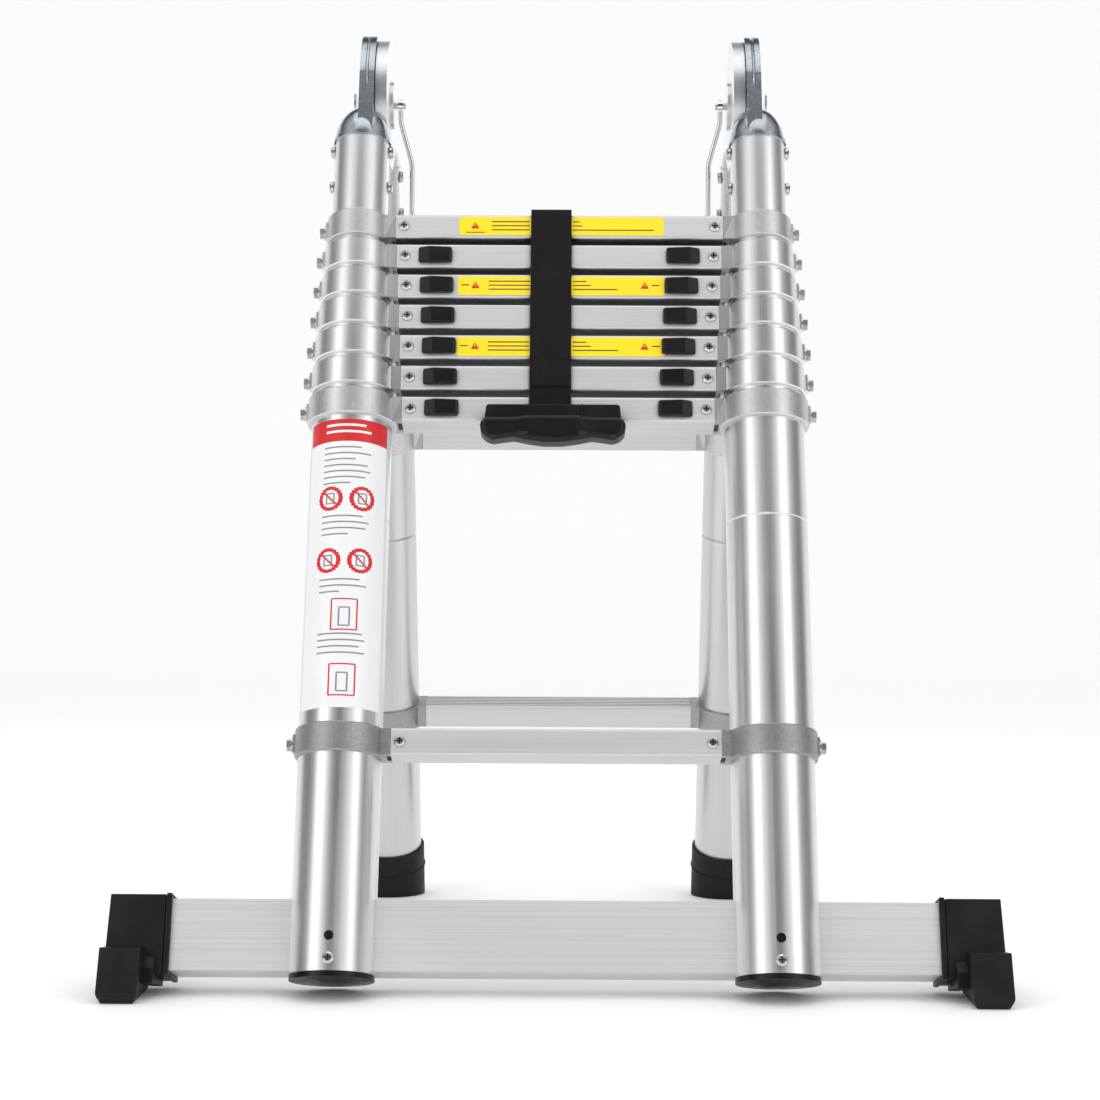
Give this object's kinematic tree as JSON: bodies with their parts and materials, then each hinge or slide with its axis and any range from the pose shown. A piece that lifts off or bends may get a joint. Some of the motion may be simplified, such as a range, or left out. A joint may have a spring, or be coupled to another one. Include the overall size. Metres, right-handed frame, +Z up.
{
  "type": "telescopic double ladder",
  "caption": "Telescopic double ladder that stands as a stepladder: two nests of aluminium tubes and rungs on a pair of disc hinges, with a stabiliser bar and a carrying strap.",
  "frame": {"origin": "on the floor, midway between the feet and below the hinge axle", "axes": "+Z up, X along the rungs and the hinge axle, -Y towards the half with the stabiliser bar"},
  "size_m": [0.734, 0.6762, 0.855],
  "materials": {
    "stile_aluminium": "drawn, satin anodised",
    "rung_aluminium": "extruded, satin anodised",
    "cast_aluminium": "sand-cast and blasted",
    "bar_aluminium": "extruded, satin anodised",
    "hinge_casting": "die-cast and polished",
    "plated_steel": "zinc plated",
    "release_wire": "bright",
    "black_plastic": "moulded, satin",
    "handle_plastic": "moulded, soft satin",
    "black_rubber": "moulded rubber",
    "black_webbing": "woven polypropylene"
  },
  "bodies": {
    "front_base": {"front_stile_1": "stile_aluminium", "front_rung_8": "rung_aluminium", "front_rung_8_clamps": "cast_aluminium", "front_rung_7": "rung_aluminium", "front_base_fasteners": "plated_steel", "stabiliser_bar": "bar_aluminium", "stabiliser_feet": "black_plastic", "front_end_caps": "black_plastic"},
    "front_section_2": {"front_section_2": "stile_aluminium"},
    "front_section_3": {"front_section_3": "stile_aluminium"},
    "front_section_4": {"front_section_4": "stile_aluminium"},
    "front_section_5": {"front_section_5": "stile_aluminium"},
    "front_section_6": {"front_section_6": "stile_aluminium"},
    "front_section_7": {"front_stile_7": "stile_aluminium", "front_rung_1": "rung_aluminium", "front_hinge_castings": "hinge_casting", "front_top_fasteners": "plated_steel", "hinge_axles": "plated_steel", "carry_strap": "black_webbing", "strap_handle": "handle_plastic"},
    "release_bail": {"release_bail": "release_wire"},
    "rear_section_7": {"rear_stile_7": "stile_aluminium", "rear_rung_1": "rung_aluminium", "rear_hinge_castings": "hinge_casting", "rear_top_fasteners": "plated_steel"},
    "rear_section_6": {"rear_section_6": "stile_aluminium"},
    "rear_section_5": {"rear_section_5": "stile_aluminium"},
    "rear_section_4": {"rear_section_4": "stile_aluminium"},
    "rear_section_3": {"rear_section_3": "stile_aluminium"},
    "rear_section_2": {"rear_section_2": "stile_aluminium"},
    "rear_base": {"rear_stile_1": "stile_aluminium", "rear_rung_8": "rung_aluminium", "rear_rung_8_clamps": "cast_aluminium", "rear_rung_7": "rung_aluminium", "rear_base_fasteners": "plated_steel", "rear_feet": "black_rubber"},
    "front_latch_2_left": {"front_latch_2_left": "black_plastic"},
    "front_latch_2_right": {"front_latch_2_right": "black_plastic"},
    "front_latch_3_left": {"front_latch_3_left": "black_plastic"},
    "front_latch_3_right": {"front_latch_3_right": "black_plastic"},
    "front_latch_4_left": {"front_latch_4_left": "black_plastic"},
    "front_latch_4_right": {"front_latch_4_right": "black_plastic"},
    "front_latch_5_left": {"front_latch_5_left": "black_plastic"},
    "front_latch_5_right": {"front_latch_5_right": "black_plastic"},
    "front_latch_6_left": {"front_latch_6_left": "black_plastic"},
    "front_latch_6_right": {"front_latch_6_right": "black_plastic"},
    "front_latch_7_left": {"front_latch_7_left": "black_plastic"},
    "front_latch_7_right": {"front_latch_7_right": "black_plastic"},
    "rear_latch_2_left": {"rear_latch_2_left": "black_plastic"},
    "rear_latch_2_right": {"rear_latch_2_right": "black_plastic"},
    "rear_latch_3_left": {"rear_latch_3_left": "black_plastic"},
    "rear_latch_3_right": {"rear_latch_3_right": "black_plastic"},
    "rear_latch_4_left": {"rear_latch_4_left": "black_plastic"},
    "rear_latch_4_right": {"rear_latch_4_right": "black_plastic"},
    "rear_latch_5_left": {"rear_latch_5_left": "black_plastic"},
    "rear_latch_5_right": {"rear_latch_5_right": "black_plastic"},
    "rear_latch_6_left": {"rear_latch_6_left": "black_plastic"},
    "rear_latch_6_right": {"rear_latch_6_right": "black_plastic"},
    "rear_latch_7_left": {"rear_latch_7_left": "black_plastic"},
    "rear_latch_7_right": {"rear_latch_7_right": "black_plastic"}
  },
  "joints": [
    {"name": "front_slide_2", "type": "slide", "parent": "front_base", "child": "front_section_2", "axis": [0, 0.3057, 0.9521], "range_m": [0, 0.2704]},
    {"name": "front_slide_3", "type": "slide", "parent": "front_section_2", "child": "front_section_3", "axis": [0, 0.3057, 0.9521], "range_m": [0, 0.2704]},
    {"name": "front_slide_4", "type": "slide", "parent": "front_section_3", "child": "front_section_4", "axis": [0, 0.3057, 0.9521], "range_m": [0, 0.2704]},
    {"name": "front_slide_5", "type": "slide", "parent": "front_section_4", "child": "front_section_5", "axis": [0, 0.3057, 0.9521], "range_m": [0, 0.2704]},
    {"name": "front_slide_6", "type": "slide", "parent": "front_section_5", "child": "front_section_6", "axis": [0, 0.3057, 0.9521], "range_m": [0, 0.2704]},
    {"name": "front_slide_7", "type": "slide", "parent": "front_section_6", "child": "front_section_7", "axis": [0, 0.3057, 0.9521], "range_m": [0, 0.2704]},
    {"name": "fold", "type": "hinge", "parent": "front_section_7", "child": "rear_section_7", "pos_m": [0, 0, 0.79], "axis": [1, 0, 0], "range_deg": [-35.6, 144.4]},
    {"name": "release_swing", "type": "hinge", "parent": "front_section_7", "child": "release_bail", "pos_m": [0, 0, 0.79], "axis": [1, 0, 0], "range_deg": [-17.8, 72.2]},
    {"name": "rear_slide_7", "type": "slide", "parent": "rear_section_7", "child": "rear_section_6", "axis": [0, 0.3057, -0.9521], "range_m": [0, 0.2704]},
    {"name": "rear_slide_6", "type": "slide", "parent": "rear_section_6", "child": "rear_section_5", "axis": [0, 0.3057, -0.9521], "range_m": [0, 0.2704]},
    {"name": "rear_slide_5", "type": "slide", "parent": "rear_section_5", "child": "rear_section_4", "axis": [0, 0.3057, -0.9521], "range_m": [0, 0.2704]},
    {"name": "rear_slide_4", "type": "slide", "parent": "rear_section_4", "child": "rear_section_3", "axis": [0, 0.3057, -0.9521], "range_m": [0, 0.2704]},
    {"name": "rear_slide_3", "type": "slide", "parent": "rear_section_3", "child": "rear_section_2", "axis": [0, 0.3057, -0.9521], "range_m": [0, 0.2704]},
    {"name": "rear_slide_2", "type": "slide", "parent": "rear_section_2", "child": "rear_base", "axis": [0, 0.3057, -0.9521], "range_m": [0, 0.2704]},
    {"name": "front_latch_2_left_slide", "type": "slide", "parent": "front_section_6", "child": "front_latch_2_left", "axis": [1, 0, 0], "range_m": [0, 0.008], "stiffness_N_per_m": 600, "springref_m": -0.01},
    {"name": "front_latch_2_right_slide", "type": "slide", "parent": "front_section_6", "child": "front_latch_2_right", "axis": [-1, 0, 0], "range_m": [0, 0.008], "stiffness_N_per_m": 600, "springref_m": -0.01},
    {"name": "front_latch_3_left_slide", "type": "slide", "parent": "front_section_5", "child": "front_latch_3_left", "axis": [1, 0, 0], "range_m": [0, 0.008], "stiffness_N_per_m": 600, "springref_m": -0.01},
    {"name": "front_latch_3_right_slide", "type": "slide", "parent": "front_section_5", "child": "front_latch_3_right", "axis": [-1, 0, 0], "range_m": [0, 0.008], "stiffness_N_per_m": 600, "springref_m": -0.01},
    {"name": "front_latch_4_left_slide", "type": "slide", "parent": "front_section_4", "child": "front_latch_4_left", "axis": [1, 0, 0], "range_m": [0, 0.008], "stiffness_N_per_m": 600, "springref_m": -0.01},
    {"name": "front_latch_4_right_slide", "type": "slide", "parent": "front_section_4", "child": "front_latch_4_right", "axis": [-1, 0, 0], "range_m": [0, 0.008], "stiffness_N_per_m": 600, "springref_m": -0.01},
    {"name": "front_latch_5_left_slide", "type": "slide", "parent": "front_section_3", "child": "front_latch_5_left", "axis": [1, 0, 0], "range_m": [0, 0.008], "stiffness_N_per_m": 600, "springref_m": -0.01},
    {"name": "front_latch_5_right_slide", "type": "slide", "parent": "front_section_3", "child": "front_latch_5_right", "axis": [-1, 0, 0], "range_m": [0, 0.008], "stiffness_N_per_m": 600, "springref_m": -0.01},
    {"name": "front_latch_6_left_slide", "type": "slide", "parent": "front_section_2", "child": "front_latch_6_left", "axis": [1, 0, 0], "range_m": [0, 0.008], "stiffness_N_per_m": 600, "springref_m": -0.01},
    {"name": "front_latch_6_right_slide", "type": "slide", "parent": "front_section_2", "child": "front_latch_6_right", "axis": [-1, 0, 0], "range_m": [0, 0.008], "stiffness_N_per_m": 600, "springref_m": -0.01},
    {"name": "front_latch_7_left_slide", "type": "slide", "parent": "front_base", "child": "front_latch_7_left", "axis": [1, 0, 0], "range_m": [0, 0.008], "stiffness_N_per_m": 600, "springref_m": -0.01},
    {"name": "front_latch_7_right_slide", "type": "slide", "parent": "front_base", "child": "front_latch_7_right", "axis": [-1, 0, 0], "range_m": [0, 0.008], "stiffness_N_per_m": 600, "springref_m": -0.01},
    {"name": "rear_latch_2_left_slide", "type": "slide", "parent": "rear_section_6", "child": "rear_latch_2_left", "axis": [1, 0, 0], "range_m": [0, 0.008], "stiffness_N_per_m": 600, "springref_m": -0.01},
    {"name": "rear_latch_2_right_slide", "type": "slide", "parent": "rear_section_6", "child": "rear_latch_2_right", "axis": [-1, 0, 0], "range_m": [0, 0.008], "stiffness_N_per_m": 600, "springref_m": -0.01},
    {"name": "rear_latch_3_left_slide", "type": "slide", "parent": "rear_section_5", "child": "rear_latch_3_left", "axis": [1, 0, 0], "range_m": [0, 0.008], "stiffness_N_per_m": 600, "springref_m": -0.01},
    {"name": "rear_latch_3_right_slide", "type": "slide", "parent": "rear_section_5", "child": "rear_latch_3_right", "axis": [-1, 0, 0], "range_m": [0, 0.008], "stiffness_N_per_m": 600, "springref_m": -0.01},
    {"name": "rear_latch_4_left_slide", "type": "slide", "parent": "rear_section_4", "child": "rear_latch_4_left", "axis": [1, 0, 0], "range_m": [0, 0.008], "stiffness_N_per_m": 600, "springref_m": -0.01},
    {"name": "rear_latch_4_right_slide", "type": "slide", "parent": "rear_section_4", "child": "rear_latch_4_right", "axis": [-1, 0, 0], "range_m": [0, 0.008], "stiffness_N_per_m": 600, "springref_m": -0.01},
    {"name": "rear_latch_5_left_slide", "type": "slide", "parent": "rear_section_3", "child": "rear_latch_5_left", "axis": [1, 0, 0], "range_m": [0, 0.008], "stiffness_N_per_m": 600, "springref_m": -0.01},
    {"name": "rear_latch_5_right_slide", "type": "slide", "parent": "rear_section_3", "child": "rear_latch_5_right", "axis": [-1, 0, 0], "range_m": [0, 0.008], "stiffness_N_per_m": 600, "springref_m": -0.01},
    {"name": "rear_latch_6_left_slide", "type": "slide", "parent": "rear_section_2", "child": "rear_latch_6_left", "axis": [1, 0, 0], "range_m": [0, 0.008], "stiffness_N_per_m": 600, "springref_m": -0.01},
    {"name": "rear_latch_6_right_slide", "type": "slide", "parent": "rear_section_2", "child": "rear_latch_6_right", "axis": [-1, 0, 0], "range_m": [0, 0.008], "stiffness_N_per_m": 600, "springref_m": -0.01},
    {"name": "rear_latch_7_left_slide", "type": "slide", "parent": "rear_base", "child": "rear_latch_7_left", "axis": [1, 0, 0], "range_m": [0, 0.008], "stiffness_N_per_m": 600, "springref_m": -0.01},
    {"name": "rear_latch_7_right_slide", "type": "slide", "parent": "rear_base", "child": "rear_latch_7_right", "axis": [-1, 0, 0], "range_m": [0, 0.008], "stiffness_N_per_m": 600, "springref_m": -0.01}
  ],
  "couplings": [
    {"joint": "release_swing", "follows": "fold", "ratio": 0.5}
  ]
}
